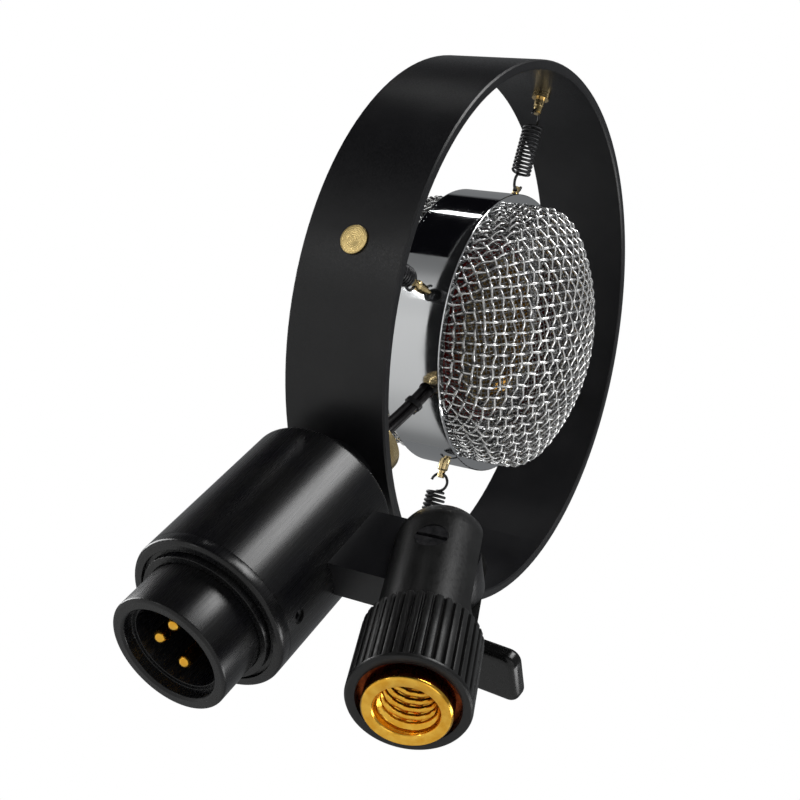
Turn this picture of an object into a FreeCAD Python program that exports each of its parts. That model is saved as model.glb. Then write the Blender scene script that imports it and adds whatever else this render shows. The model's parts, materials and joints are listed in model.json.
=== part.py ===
"""Condenser microphone: a capsule head sprung inside a ring, on a barrel that holds the
electronics and the three-pin connector, carried by a swivel with a threaded stand collar.

Millimetres, +Z up, the ring facing -Y. The origin is the centre of the stand thread's mouth.
Most pieces are drawn about the ring's centre, and those of the swivel about its pivot.
"""

import FreeCAD, Part
import math
import os
import re

import Sketcher
from FreeCAD import Placement, Rotation, Vector

SIZES = {
    # Ring and its spring anchors
    "ring_radius": 57.5,
    "ring_wall": 2.0,
    "ring_width": 21.6,
    "ring_edge_break": 0.3,
    "anchor_head_radius": 2.75,
    "anchor_head_rise": 0.6,
    "anchor_shank_radius": 0.9,
    "anchor_shank_length": 2.7,
    "post_radius": 1.1,
    "post_base_radius": 1.9,
    "post_base_height": 1.3,
    "post_length": 4.9,
    "post_tip_radius": 0.75,
    "post_tip_length": 1.5,
    "eye_radius": 0.55,
    "eye_inset": 0.85,
    # Suspension springs
    "spring_radius": 2.1,
    "spring_wire": 0.55,
    "hook_radius": 1.9,
    # Barrel
    "barrel_radius": 15.0,
    "barrel_wall": 2.0,
    "barrel_top": 63.8,
    "barrel_top_wall": 3.0,
    "barrel_top_round": 1.2,
    "barrel_bottom": 99.3,
    "end_cap_height": 2.5,
    "end_cap_round": 0.8,
    "end_cap_boss_radius": 12.4,
    "end_cap_boss_height": 0.7,
    "end_cap_groove_radius": 13.2,
    "end_cap_groove_depth": 0.8,
    "end_cap_spigot": 6.0,
    "slip": 0.05,
    # Three-pin connector
    "connector_radius": 11.15,
    "connector_bottom": 109.5,
    "connector_top": 86.0,
    "socket_radius": 8.1,
    "socket_mouth_radius": 8.9,
    "socket_mouth_depth": 2.3,
    "socket_lip": 0.4,
    "insert_face": 94.0,
    "insert_back": 87.0,
    "pin_radius": 1.2,
    "pin_circle": 4.0,
    "pin_tip": 107.2,
    "solder_cup": 84.5,
    "set_screw_radius": 1.25,
    "set_screw_height": 93.6,
    # Joint between ring and barrel
    "neck_spacer_radius": 8.0,
    "hollow_screw_radius": 4.0,
    "hollow_screw_bore": 2.4,
    "gland_flange_radius": 6.4,
    "gland_flange": 9.2,
    "gland_nose_radius": 4.4,
    "gland_nose": 10.4,
    "gland_nut_radius": 6.5,
    "gland_nut_height": 3.0,
    # Signal lead
    "lead_radius": 1.5,
    "lead_hole_radius": 1.65,
    "lead_hole_left": 3.0,
    "lead_hole_forward": 3.6,
    # Electronics
    "board_width": 20.0,
    "board_thickness": 1.6,
    "board_top": 71.5,
    "board_bottom": 84.0,
    # Tongue and swivel
    "hinge_forward": 30.84,
    "hinge_drop": 75.98,
    "rest_tilt": 20.35,
    "tongue_width": 6.8,
    "tongue_height": 15.3,
    "slot_width": 7.0,
    "slot_bottom": 13.9,
    "clevis_radius": 8.16,
    "dome_centre": 5.33,
    "shoulder_drop": 15.1,
    "neck_radius": 6.0,
    "neck_bottom": 18.0,
    "pivot_radius": 2.5,
    "pivot_head_radius": 2.75,
    "pivot_slot_width": 0.8,
    "pivot_slot_depth": 0.8,
    "pivot_head_seat": 6.2,
    "lever_seat": 7.0,
    "lever_hub_radius": 4.3,
    # Clamp lever
    "lever_reach": 14.3,
    "lever_inner": 12.4,
    "lever_outer": 22.3,
    "lever_thickness": 3.4,
    "lever_root": 3.0,
    "lever_corner": 2.2,
    "lever_edge": 1.2,
    "lever_hub_end": 17.0,
    "lever_angle": 25.0,
    # Stand collar and adapter
    "collar_radius": 9.69,
    "collar_top": 15.25,
    "collar_bottom": 29.8,
    "collar_web": 2.5,
    "collar_bore_radius": 7.98,
    "collar_ribs": 38.0,
    "rib_depth": 0.55,
    "collar_rim": 1.0,
    "adapter_radius": 7.93,
    "adapter_face_radius": 6.95,
    "adapter_top": 20.6,
    "mouth_drop": 31.5,
    "stand_bore_radius": 4.0,
    # Capsule head
    "band_radius": 29.9,
    "band_half_width": 5.6,
    "band_wall": 1.6,
    "rim_thickness": 0.95,
    "rim_inner_radius": 27.2,
    "grille_radius": 28.0,
    "grille_top": 23.2,
    "grille_crown": 47.0,
    "grille_skin": 1.1,
    "mesh_gap": 0.25,
    "mesh_skin": 0.3,
    "capsule_radius": 17.0,
    "backplate_half": 3.0,
    "diaphragm_radius": 14.6,
}

SPRING_ANGLES = {"upper_right": 45, "upper_left": 135, "lower_left": 225, "lower_right": 315}
SPRING_TWISTS = {"lower_right": 90}
RING_CENTRE = {
    "y": "Dimensions.mouth_drop * sin(Dimensions.rest_tilt * 1deg) + Dimensions.hinge_forward",
    "z": "Dimensions.mouth_drop * cos(Dimensions.rest_tilt * 1deg) + Dimensions.hinge_drop",
}
HINGE = {
    "y": "Dimensions.mouth_drop * sin(Dimensions.rest_tilt * 1deg)",
    "z": "Dimensions.mouth_drop * cos(Dimensions.rest_tilt * 1deg)",
}
TINY = 1e-9

doc = FreeCAD.newDocument("condenser_microphone")
sub_parts = []


def make_sheet():
    """The driving dimensions, one alias to a row."""
    sheet = doc.addObject("Spreadsheet::Sheet", "Dimensions")
    for row, (alias, value) in enumerate(SIZES.items(), start=1):
        sheet.set(f"A{row}", alias)
        sheet.set(f"B{row}", str(value))
        sheet.setAlias(f"B{row}", alias)
    doc.recompute()
    return sheet


sheet = make_sheet()


def full(formula):
    """A formula in the sheet's aliases, written the way the document's expressions need it."""
    named = lambda word: "Dimensions." + word[0] if word[0] in SIZES else word[0]
    return re.sub("[a-z_]+", named, str(formula))


def value(formula):
    """The number that a formula stands for now."""
    result = sheet.evalExpression(full(formula))
    return float(getattr(result, "Value", result))


def bind(piece, formulas):
    """Ties each named property of a piece to a formula in the sheet's aliases."""
    for name, formula in formulas.items():
        piece.setExpression(name, full(formula))
    return piece


def move(piece, at):
    """Ties a piece's place to formulas, given as a dictionary of x, y and z."""
    return bind(piece, {"Placement.Base." + axis: formula for axis, formula in at.items()})


# Primitives and booleans -------------------------------------------------------------------

ALONG = {
    "+X": Rotation(Vector(0, 1, 0), 90),
    "-X": Rotation(Vector(0, 1, 0), -90),
    "+Y": Rotation(Vector(1, 0, 0), -90),
    "-Y": Rotation(Vector(1, 0, 0), 90),
    "+Z": Rotation(),
    "-Z": Rotation(Vector(1, 0, 0), 180),
}


def rod(name, radius, length, along="+Z", at=None):
    """A cylinder that starts at a point and runs along one axis."""
    piece = doc.addObject("Part::Cylinder", name)
    bind(piece, {"Radius": radius, "Height": length})
    piece.Placement = Placement(Vector(), ALONG[along])
    return move(piece, at or {})


def block(name, length, width, height, at):
    """A box with its lowest corner at a point."""
    piece = doc.addObject("Part::Box", name)
    bind(piece, {"Length": length, "Width": width, "Height": height})
    return move(piece, at)


def ball(name, radius, at=None):
    """A sphere about a point."""
    piece = doc.addObject("Part::Sphere", name)
    bind(piece, {"Radius": radius})
    return move(piece, at or {})


def cut(name, base, *tools):
    """The base with each tool taken away, one after the other."""
    for number, tool in enumerate(tools, start=1):
        last = number == len(tools)
        piece = doc.addObject("Part::Cut", name if last else f"{name}_cut_{number}")
        piece.Base, piece.Tool = base, tool
        base = piece
    return base


def fuse(name, *shapes):
    """Several shapes joined, or kept as a group of solids where they don't touch."""
    piece = doc.addObject("Part::MultiFuse", name)
    piece.Shapes = list(shapes)
    return piece


def common(name, *shapes):
    """What several shapes share."""
    piece = doc.addObject("Part::MultiCommon", name)
    piece.Shapes = list(shapes)
    return piece


def grouped(name, piece):
    """A primitive as a group of one, which can be placed or turned apart from it."""
    group = doc.addObject("Part::Compound", name)
    group.Links = [piece]
    return group


def tube(name, outer, inner, length, along="+Z", at=None):
    """A cylinder with a bore right through it."""
    return cut(
        name,
        rod(name + "_outside", outer, length, along, at),
        rod(name + "_bore", inner, length, along, at),
    )


# Sketched bodies ---------------------------------------------------------------------------


def origin_plane(body, role):
    """One of a body's own origin planes, such as XZ_Plane."""
    return next(plane for plane in body.Origin.OriginFeatures if plane.Role == role)


def pin_point(sketch, line, corner):
    """Ties a line's first point to the sketch's origin by two formulas."""
    for kind, axis, formula in (("DistanceX", -2, corner[0]), ("DistanceY", -1, corner[1])):
        size = value(formula)
        if abs(size) < TINY:
            sketch.addConstraint(Sketcher.Constraint("PointOnObject", line, 1, axis))
            continue
        ends = (-1, 1, line, 1) if size > 0 else (line, 1, -1, 1)
        number = sketch.addConstraint(Sketcher.Constraint(kind, *ends, abs(size)))
        sign = "" if size > 0 else "-1 * "
        sketch.setExpression(f"Constraints[{number}]", f"{sign}({full(formula)})")


def outline(body, name, plane, corners):
    """A closed sketch of straight lines through corners given as pairs of formulas."""
    sketch = body.newObject("Sketcher::SketchObject", name)
    sketch.AttachmentSupport = (origin_plane(body, plane), [""])
    sketch.MapMode = "FlatFace"
    points = [Vector(value(across), value(up), 0) for across, up in corners]
    lines = [
        Part.LineSegment(start, end) for start, end in zip(points, points[1:] + points[:1])
    ]
    sketch.addGeometry(lines, False)
    for line in range(len(lines)):
        following = (line + 1) % len(lines)
        sketch.addConstraint(Sketcher.Constraint("Coincident", line, 2, following, 1))
    for line, corner in enumerate(corners):
        pin_point(sketch, line, corner)
    return sketch


def new_body(name):
    """An empty body for one sketched piece."""
    return doc.addObject("PartDesign::Body", name)


def turned(name, axis, corners):
    """A body turned about its own Z or Y axis. Corners are radius and height formulas."""
    body = new_body(name)
    plane = {"Z": "XZ_Plane", "Y": "XY_Plane"}[axis]
    sketch = outline(body, name + "_profile", plane, corners)
    revolution = body.newObject("PartDesign::Revolution", name + "_turned")
    revolution.Profile = sketch
    revolution.ReferenceAxis = (sketch, ["V_Axis"])
    revolution.Angle = 360
    doc.recompute()
    return body


def circles_at(shape, axis, height, radius):
    """Names of the circular edges of one radius at one height along an axis."""
    found = []
    for number, edge in enumerate(shape.Edges, start=1):
        curve = edge.Curve
        if not hasattr(curve, "Radius") or abs(curve.Radius - radius) > 1e-4:
            continue
        if abs(getattr(curve.Center, axis) - height) < 1e-4:
            found.append(f"Edge{number}")
    return found


def dress(body, kind, axis, places, size):
    """Rounds or chamfers circular edges, given as height and radius formulas."""
    base = body.Tip
    edges = []
    for height, radius in places:
        edges += circles_at(base.Shape, axis, value(height), value(radius))
    if not edges:
        raise RuntimeError(f"{body.Name} has no such edges to dress")
    feature = body.newObject("PartDesign::" + kind, f"{body.Name}_{kind.lower()}")
    feature.Base = (base, edges)
    bind(feature, {"Radius" if kind == "Fillet" else "Size": size})
    doc.recompute()
    return body


# Placing finished sub-parts ----------------------------------------------------------------


def finish(piece, name):
    """Marks a finished sub-part, whose label names its file."""
    piece.Label = name
    sub_parts.append(piece)
    return piece


def on_ring(piece, name, angle=90, twist=0):
    """Places a piece drawn about the ring's centre. An angle turns its own Z axis to point
    out along that radius of the ring, counted from +X towards +Z. A twist turns the piece
    about its own Z axis."""
    turn = Rotation(Vector(0, 1, 0), 90 - angle) * Rotation(Vector(0, 0, 1), twist)
    piece.Placement = Placement(Vector(), turn)
    for axis, formula in RING_CENTRE.items():
        piece.setExpression("Placement.Base." + axis, formula)
    return finish(piece, name)


def on_hinge(piece, name):
    """Places a piece drawn about the pivot, its own Z axis running up the swivel's stem."""
    piece.Placement = Placement(Vector(), Rotation(Vector(-1, 0, 0), 1))
    piece.setExpression("Placement.Rotation.Angle", "Dimensions.rest_tilt * 1deg")
    for axis, formula in HINGE.items():
        piece.setExpression("Placement.Base." + axis, formula)
    return finish(piece, name)


# Ring and anchors --------------------------------------------------------------------------


def ring_hoop():
    """The flat hoop, drilled for four anchor screws and for the hollow screw at its foot."""
    body = turned(
        "hoop",
        "Y",
        [
            ("ring_radius - ring_wall", "-ring_width / 2"),
            ("ring_radius", "-ring_width / 2"),
            ("ring_radius", "ring_width / 2"),
            ("ring_radius - ring_wall", "ring_width / 2"),
        ],
    )
    edges = [
        (f"{side}ring_width / 2", radius)
        for side in ("-", "")
        for radius in ("ring_radius", "ring_radius - ring_wall")
    ]
    dress(body, "Chamfer", "y", edges, "ring_edge_break")
    holes = []
    for place, angle in SPRING_ANGLES.items():
        hole = rod("anchor_hole_" + place, "anchor_shank_radius + slip", "2 * ring_radius")
        hole.Placement = Placement(Vector(), Rotation(Vector(0, 1, 0), 90 - angle))
        holes.append(hole)
    foot = rod("foot_hole", "hollow_screw_radius + slip", "2 * ring_radius", "-Z")
    on_ring(cut("ring_hoop", body, *holes, foot), "ring_hoop")


def anchor_screws():
    """Four brass screws whose flat heads lie on the outside of the hoop."""
    screws = []
    for place, angle in SPRING_ANGLES.items():
        screw = turned(
            "anchor_screw_" + place,
            "Z",
            [
                ("0", "ring_radius - ring_wall - anchor_shank_length"),
                ("anchor_shank_radius", "ring_radius - ring_wall - anchor_shank_length"),
                ("anchor_shank_radius", "ring_radius"),
                ("anchor_head_radius", "ring_radius"),
                ("anchor_head_radius", "ring_radius + anchor_head_rise"),
                ("0", "ring_radius + anchor_head_rise"),
            ],
        )
        dress(
            screw,
            "Chamfer",
            "z",
            [("ring_radius + anchor_head_rise", "anchor_head_radius")],
            "anchor_head_rise / 3",
        )
        screw.Placement = Placement(Vector(), Rotation(Vector(0, 1, 0), 90 - angle))
        screws.append(screw)
    on_ring(fuse("anchor_screws", *screws), "anchor_screws")


POST_SEAT = "ring_radius - ring_wall - slip"
POST_END = "ring_radius - ring_wall - post_length"


def ring_post(place):
    """A brass post on the inside of the hoop, thinned at its tip and pierced for a hook."""
    body = turned(
        "ring_post_body_" + place,
        "Z",
        [
            ("0", POST_END),
            ("post_tip_radius", POST_END),
            ("post_tip_radius", POST_END + " + post_tip_length"),
            ("post_radius", POST_END + " + post_tip_length + 0.35"),
            ("post_radius", POST_SEAT + " - post_base_height"),
            ("post_base_radius", POST_SEAT + " - post_base_height"),
            ("post_base_radius", POST_SEAT),
            ("0", POST_SEAT),
        ],
    )
    eye = rod(
        "ring_eye_" + place,
        "eye_radius",
        "4 * post_radius",
        "+X",
        {"x": "-2 * post_radius", "z": POST_END + " + eye_inset"},
    )
    bore = rod(
        "ring_post_bore_" + place,
        "anchor_shank_radius + slip",
        "post_length",
        "+Z",
        {"z": POST_END + " + post_tip_length + 0.6"},
    )
    return cut("ring_post_cut_" + place, body, eye, bore)


CAPSULE_POST_END = "band_radius + post_length - 1.6"


def capsule_post(place):
    """A brass post on the capsule's band, pierced for a hook."""
    body = turned(
        "capsule_post_body_" + place,
        "Z",
        [
            ("0", "band_radius - band_wall - 1.2"),
            ("post_base_radius", "band_radius - band_wall - 1.2"),
            ("post_base_radius", "band_radius - band_wall - 0.1"),
            ("post_radius", "band_radius - band_wall - 0.1"),
            ("post_radius", CAPSULE_POST_END + " - post_tip_length - 0.35"),
            ("post_tip_radius", CAPSULE_POST_END + " - post_tip_length"),
            ("post_tip_radius", CAPSULE_POST_END),
            ("0", CAPSULE_POST_END),
        ],
    )
    eye = rod(
        "capsule_eye_" + place,
        "eye_radius",
        "4 * post_radius",
        "+X",
        {"x": "-2 * post_radius", "z": CAPSULE_POST_END + " - eye_inset"},
    )
    return cut("capsule_post_cut_" + place, body, eye)


def hook(name, middle):
    """One closed wire loop in the X-Z plane, which passes through a post's eye."""
    piece = doc.addObject("Part::Torus", name)
    bind(piece, {"Radius1": "hook_radius", "Radius2": "spring_wire / 2"})
    piece.Placement = Placement(Vector(), ALONG["+Y"])
    return move(piece, {"z": middle})


def spring(place):
    """A suspension spring as the sleeve its coils fill, with a hook loop at each end."""
    inner_hook = CAPSULE_POST_END + " - eye_inset + hook_radius"
    outer_hook = POST_END + " + eye_inset - hook_radius"
    start = inner_hook + " + hook_radius - spring_wire / 2"
    end = outer_hook + " - hook_radius + spring_wire / 2"
    coil = tube(
        "spring_coil_" + place,
        "spring_radius",
        "spring_radius - spring_wire",
        f"({end}) - ({start})",
        "+Z",
        {"z": start},
    )
    hooks = [
        hook("capsule_hook_" + place, inner_hook),
        hook("ring_hook_" + place, outer_hook),
    ]
    return fuse("spring_fused_" + place, coil, *hooks)


def suspension():
    """The four radial springs and the posts they hook on."""
    for place, angle in SPRING_ANGLES.items():
        twist = SPRING_TWISTS.get(place, 0)
        on_ring(ring_post(place), "ring_post_" + place, angle, twist)
        on_ring(capsule_post(place), "capsule_post_" + place, angle, twist)
        on_ring(spring(place), "spring_" + place, angle, twist)


# Barrel ------------------------------------------------------------------------------------


def barrel_housing():
    """The barrel's tube with its closed top, drilled for the hollow screw, the tongue's two
    screws and the set screw."""
    body = turned(
        "barrel_body",
        "Z",
        [
            ("hollow_screw_radius + slip", "-barrel_top"),
            ("barrel_radius", "-barrel_top"),
            ("barrel_radius", "-barrel_bottom + end_cap_height"),
            ("barrel_radius - barrel_wall", "-barrel_bottom + end_cap_height"),
            ("barrel_radius - barrel_wall", "-barrel_top - barrel_top_wall"),
            ("hollow_screw_radius + slip", "-barrel_top - barrel_top_wall"),
        ],
    )
    dress(body, "Fillet", "z", [("-barrel_top", "barrel_radius")], "barrel_top_round")
    tools = [
        rod(f"tongue_screw_hole_{number}", "1.5", "barrel_radius", "-Y", {"z": height})
        for number, height in enumerate(TONGUE_SCREW_HEIGHTS, start=1)
    ]
    tools.append(
        rod(
            "barrel_set_hole",
            "set_screw_radius",
            "2 * barrel_radius",
            "-Y",
            {"z": "-set_screw_height"},
        )
    )
    on_ring(cut("barrel_housing", body, *tools), "barrel_housing")


TONGUE_SCREW_HEIGHTS = ("-hinge_drop + 4", "-hinge_drop - 4")


def end_cap():
    """The ring that closes the barrel's foot: a groove round its raised middle, and a spigot
    that fits inside the tube."""
    body = turned(
        "end_cap_body",
        "Z",
        [
            ("connector_radius + slip", "-barrel_bottom - end_cap_boss_height"),
            ("end_cap_boss_radius", "-barrel_bottom - end_cap_boss_height"),
            ("end_cap_boss_radius", "-barrel_bottom + end_cap_groove_depth"),
            ("end_cap_groove_radius", "-barrel_bottom + end_cap_groove_depth"),
            ("end_cap_groove_radius", "-barrel_bottom"),
            ("barrel_radius", "-barrel_bottom"),
            ("barrel_radius", "-barrel_bottom + end_cap_height"),
            ("barrel_radius - barrel_wall - slip", "-barrel_bottom + end_cap_height"),
            (
                "barrel_radius - barrel_wall - slip",
                "-barrel_bottom + end_cap_height + end_cap_spigot",
            ),
            ("connector_radius + slip", "-barrel_bottom + end_cap_height + end_cap_spigot"),
        ],
    )
    dress(body, "Fillet", "z", [("-barrel_bottom", "barrel_radius")], "end_cap_round")
    hole = rod(
        "cap_set_hole",
        "set_screw_radius",
        "2 * barrel_radius",
        "-Y",
        {"z": "-set_screw_height"},
    )
    on_ring(cut("barrel_end_cap", body, hole), "barrel_end_cap")


def set_screw():
    """The grub screw that locks the connector in the barrel."""
    body = rod(
        "set_screw_body",
        "set_screw_radius - slip / 2",
        "3.2",
        "-Y",
        {"y": "-connector_radius - slip", "z": "-set_screw_height"},
    )
    key = doc.addObject("Part::Prism", "set_screw_key")
    key.Polygon = 6
    bind(key, {"Circumradius": "0.72", "Height": "2"})
    key.Placement = Placement(Vector(), ALONG["-Y"])
    move(key, {"y": "-connector_radius - slip - 1.8", "z": "-set_screw_height"})
    on_ring(cut("connector_set_screw", body, key), "connector_set_screw")


# Three-pin connector -----------------------------------------------------------------------


def connector_shell():
    """The connector's metal shell, stepped inside its mouth and slotted for the latch."""
    body = turned(
        "connector_body",
        "Z",
        [
            ("socket_mouth_radius", "-connector_bottom"),
            ("connector_radius", "-connector_bottom"),
            ("connector_radius", "-connector_top"),
            ("socket_radius", "-connector_top"),
            ("socket_radius", "-connector_bottom + socket_mouth_depth"),
            ("socket_mouth_radius", "-connector_bottom + socket_mouth_depth"),
        ],
    )
    dress(body, "Fillet", "z", [("-connector_bottom", "connector_radius")], "0.6")
    dress(body, "Chamfer", "z", [("-connector_bottom", "socket_mouth_radius")], "socket_lip")
    latch = block(
        "latch_window",
        "3.2",
        "connector_radius - socket_radius",
        "4",
        {"x": "-1.6", "y": "-connector_radius + 0.9", "z": "-connector_bottom + 3.4"},
    )
    on_ring(cut("connector_shell", body, latch), "connector_shell")


PIN_PLACES = {
    "right": {"x": "pin_circle"},
    "back": {"y": "pin_circle"},
    "left": {"x": "-pin_circle"},
}


def connector_insert():
    """The moulded disc that carries the pins."""
    disc = rod(
        "insert_disc",
        "socket_radius - slip",
        "insert_face - insert_back",
        "-Z",
        {"z": "-insert_back"},
    )
    holes = [
        rod(
            "insert_hole_" + place,
            "pin_radius",
            "insert_face",
            "-Z",
            {**at, "z": "-insert_back + 1"},
        )
        for place, at in PIN_PLACES.items()
    ]
    on_ring(cut("connector_insert", disc, *holes), "connector_insert")


def connector_pins():
    """Three gold pins with rounded tips, which end in solder cups behind the disc."""
    pins = []
    for place, at in PIN_PLACES.items():
        shaft = rod(
            "pin_shaft_" + place,
            "pin_radius",
            "pin_tip - pin_radius - solder_cup",
            "-Z",
            {**at, "z": "-solder_cup"},
        )
        tip = ball("pin_tip_" + place, "pin_radius", {**at, "z": "-pin_tip + pin_radius"})
        pins.append(fuse("pin_" + place, shaft, tip))
    on_ring(fuse("connector_pins", *pins), "connector_pins")


# Joint between ring and barrel, and the electronics ----------------------------------------


def neck_spacer():
    """The short spacer between hoop and barrel, hollowed on top to sit on the hoop."""
    body = tube(
        "neck_spacer_tube",
        "neck_spacer_radius",
        "hollow_screw_radius + slip",
        "barrel_top - ring_radius + 2",
        "+Z",
        {"z": "-barrel_top"},
    )
    hoop = rod("neck_saddle", "ring_radius", "4 * barrel_radius", "+Y")
    move(hoop, {"y": "-2 * barrel_radius"})
    on_ring(cut("neck_spacer", body, hoop), "neck_spacer")


def hollow_screw():
    """The brass screw that clamps hoop, spacer and barrel. The lead passes through it."""
    seat = "-ring_radius + ring_wall"
    body = turned(
        "hollow_screw_body",
        "Z",
        [
            ("hollow_screw_bore", "-barrel_top - barrel_top_wall - gland_nut_height - 1"),
            ("hollow_screw_radius", "-barrel_top - barrel_top_wall - gland_nut_height - 1"),
            ("hollow_screw_radius", seat + " + 0.4"),
            ("gland_flange_radius", seat + " + 0.4"),
            ("gland_flange_radius", seat + " + gland_flange"),
            ("gland_nose_radius", seat + " + gland_flange"),
            ("gland_nose_radius", seat + " + gland_nose"),
            ("hollow_screw_bore", seat + " + gland_nose"),
        ],
    )
    places = [(seat + " + gland_nose", "gland_nose_radius")]
    dress(body, "Fillet", "z", places, "0.6")
    on_ring(body, "hollow_gland_screw")
    nut = doc.addObject("Part::Prism", "gland_nut_hexagon")
    nut.Polygon = 6
    bind(nut, {"Circumradius": "gland_nut_radius", "Height": "gland_nut_height"})
    move(nut, {"z": "-barrel_top - barrel_top_wall - gland_nut_height"})
    bore = rod("gland_nut_bore", "hollow_screw_radius + slip", "barrel_bottom", "-Z")
    on_ring(cut("gland_nut", nut, bore), "gland_nut")


LEAD_ROUTE = [
    Vector(-3.1, -3.6, -26.6),
    Vector(-3.0, -3.7, -31.0),
    Vector(-1.8, -2.5, -34.4),
    Vector(-0.5, -0.9, -39.8),
    Vector(0, 0, -46.5),
    Vector(0, 0, -70.5),
]


def routed_wire(points, share=0.45):
    """Straight runs joined by tangent arcs, each as large as its two runs allow."""
    edges = []
    start = points[0]
    for before, corner, after in zip(points, points[1:], points[2:]):
        back, ahead = (before - corner), (after - corner)
        trim = share * min(back.Length, ahead.Length)
        turn = math.pi - back.getAngle(ahead)
        enter = corner + back.normalize() * trim
        leave = corner + ahead.normalize() * trim
        bisector = (back + ahead).normalize()
        radius = trim / math.tan(turn / 2)
        middle = corner + bisector * (radius / math.cos(turn / 2) - radius)
        print(f"lead bend radius {radius:.1f} mm")
        edges.append(Part.LineSegment(start, enter).toShape())
        edges.append(Part.Arc(enter, middle, leave).toShape())
        start = leave
    edges.append(Part.LineSegment(start, points[-1]).toShape())
    return Part.Wire(edges)


def signal_lead():
    """The sheathed lead from the capsule head through the hollow screw to the board."""
    wire = routed_wire(LEAD_ROUTE)
    radius = SIZES["lead_radius"]
    circle = Part.Circle(LEAD_ROUTE[0], LEAD_ROUTE[1] - LEAD_ROUTE[0], radius)
    section = Part.Wire([circle.toShape()])
    piece = doc.addObject("Part::Feature", "signal_lead")
    piece.Shape = wire.makePipeShell([section], True, True)
    expected = math.pi * radius**2 * wire.Length
    if abs(piece.Shape.Volume - expected) > 0.02 * expected:
        raise RuntimeError(f"lead volume {piece.Shape.Volume:.1f}, expected {expected:.1f}")
    on_ring(piece, "signal_lead")


def cable_tie():
    """The tie that bundles the lead's strands, with its square head."""
    middle = Vector(-2.35, -3.0, -33.0)
    along = Vector(1.2, 1.2, -3.4)
    loop = doc.addObject("Part::Feature", "cable_tie")
    outer = Part.makeCylinder(SIZES["lead_radius"] + 0.65, 1.6, Vector(0, 0, -0.8))
    inner = Part.makeCylinder(SIZES["lead_radius"] + 0.15, 1.6, Vector(0, 0, -0.8))
    head_box = Part.makeBox(2.2, 2.6, 2.6, Vector(-4.1, -1.3, -1.3))
    tie = outer.fuse(head_box).cut(inner).removeSplitter()
    tie.Placement = Placement(middle, Rotation(Vector(0, 0, 1), along))
    loop.Shape = Part.makeCompound([tie])
    on_ring(loop, "cable_tie")


def board_posts():
    """Two slotted posts under the barrel's top, which hold the circuit board's upper edge."""
    posts = []
    for side in (-1, 1):
        corner = {"x": f"{side} * 9.7 - 1.5", "y": "-1.5"}
        post = block(
            f"board_post_block_{side + 1}",
            "3",
            "board_thickness + 3",
            "board_top - barrel_top - barrel_top_wall + 4",
            {**corner, "z": "-board_top - 4"},
        )
        slot = block(
            f"board_post_slot_{side + 1}",
            "6",
            "board_thickness",
            "4",
            {"x": f"{side} * 9.7 - 3", "y": "0", "z": "-board_top - 4"},
        )
        posts.append(cut(f"board_post_{side + 1}", post, slot))
    on_ring(fuse("board_posts", *posts), "board_posts")


def electronics():
    """The circuit board with its capacitors and transistors."""
    board = block(
        "board_block",
        "board_width",
        "board_thickness",
        "board_bottom - board_top",
        {"x": "-board_width / 2", "y": "0", "z": "-board_bottom"},
    )
    on_ring(grouped("board_group", board), "circuit_board")
    cans = [
        rod(
            f"can_{side + 1}",
            "2.5",
            "7",
            "+Y",
            {"x": f"{side} * 5.2", "y": "board_thickness", "z": "-board_bottom + 4.5"},
        )
        for side in (-1, 1)
    ]
    on_ring(fuse("filter_capacitors", *cans), "filter_capacitors")
    film = block(
        "film_block", "10", "4", "6", {"x": "-5", "y": "-4", "z": "-board_bottom + 3"}
    )
    on_ring(grouped("film_group", film), "coupling_capacitor")
    dies = [
        block(
            f"transistor_block_{side + 1}",
            "4",
            "2.6",
            "3.4",
            {"x": f"{side} * 3.6 - 2", "y": "board_thickness", "z": "-board_top - 4.6"},
        )
        for side in (-1, 1)
    ]
    on_ring(fuse("transistors", *dies), "transistors")


# Tongue ------------------------------------------------------------------------------------


def tongue():
    """The block on the barrel's front that the swivel clamps, with its two screws."""
    half = "tongue_height / 2"
    plate = block(
        "tongue_plate",
        "tongue_width",
        "hinge_forward",
        "tongue_height",
        {
            "x": "-tongue_width / 2",
            "y": "-hinge_forward",
            "z": "-hinge_drop - tongue_height / 2",
        },
    )
    nose = rod(
        "tongue_nose",
        half,
        "tongue_width",
        "+X",
        {"x": "-tongue_width / 2", "y": "-hinge_forward", "z": "-hinge_drop"},
    )
    inside = rod(
        "tongue_saddle", "barrel_radius + 0.01", "2 * barrel_bottom", "-Z", {"z": "0"}
    )
    pivot = rod(
        "tongue_pivot",
        "pivot_radius",
        "2 * tongue_width",
        "+X",
        {"x": "-tongue_width", "y": "-hinge_forward", "z": "-hinge_drop"},
    )
    holes = [
        rod(
            f"tongue_thread_{number}",
            "1.5",
            "6.8",
            "-Y",
            {"y": "-barrel_radius + 1", "z": height},
        )
        for number, height in enumerate(TONGUE_SCREW_HEIGHTS, start=1)
    ]
    body = fuse("tongue_body", plate, nose)
    on_ring(cut("pivot_tongue", body, inside, pivot, *holes), "pivot_tongue")
    screws = []
    for number, height in enumerate(TONGUE_SCREW_HEIGHTS, start=1):
        shank = rod(
            f"tongue_screw_shank_{number}",
            "1.45",
            "7.6",
            "-Y",
            {"y": "-barrel_radius + barrel_wall + 0.4", "z": height},
        )
        head = rod(
            f"tongue_screw_head_{number}",
            "2.6",
            "1.5",
            "-Y",
            {"y": "-barrel_radius + barrel_wall + 1.9", "z": height},
        )
        screws.append(fuse(f"tongue_screw_{number}", shank, head))
    on_ring(fuse("tongue_screws", *screws), "tongue_screws")


# Swivel ------------------------------------------------------------------------------------


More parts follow.
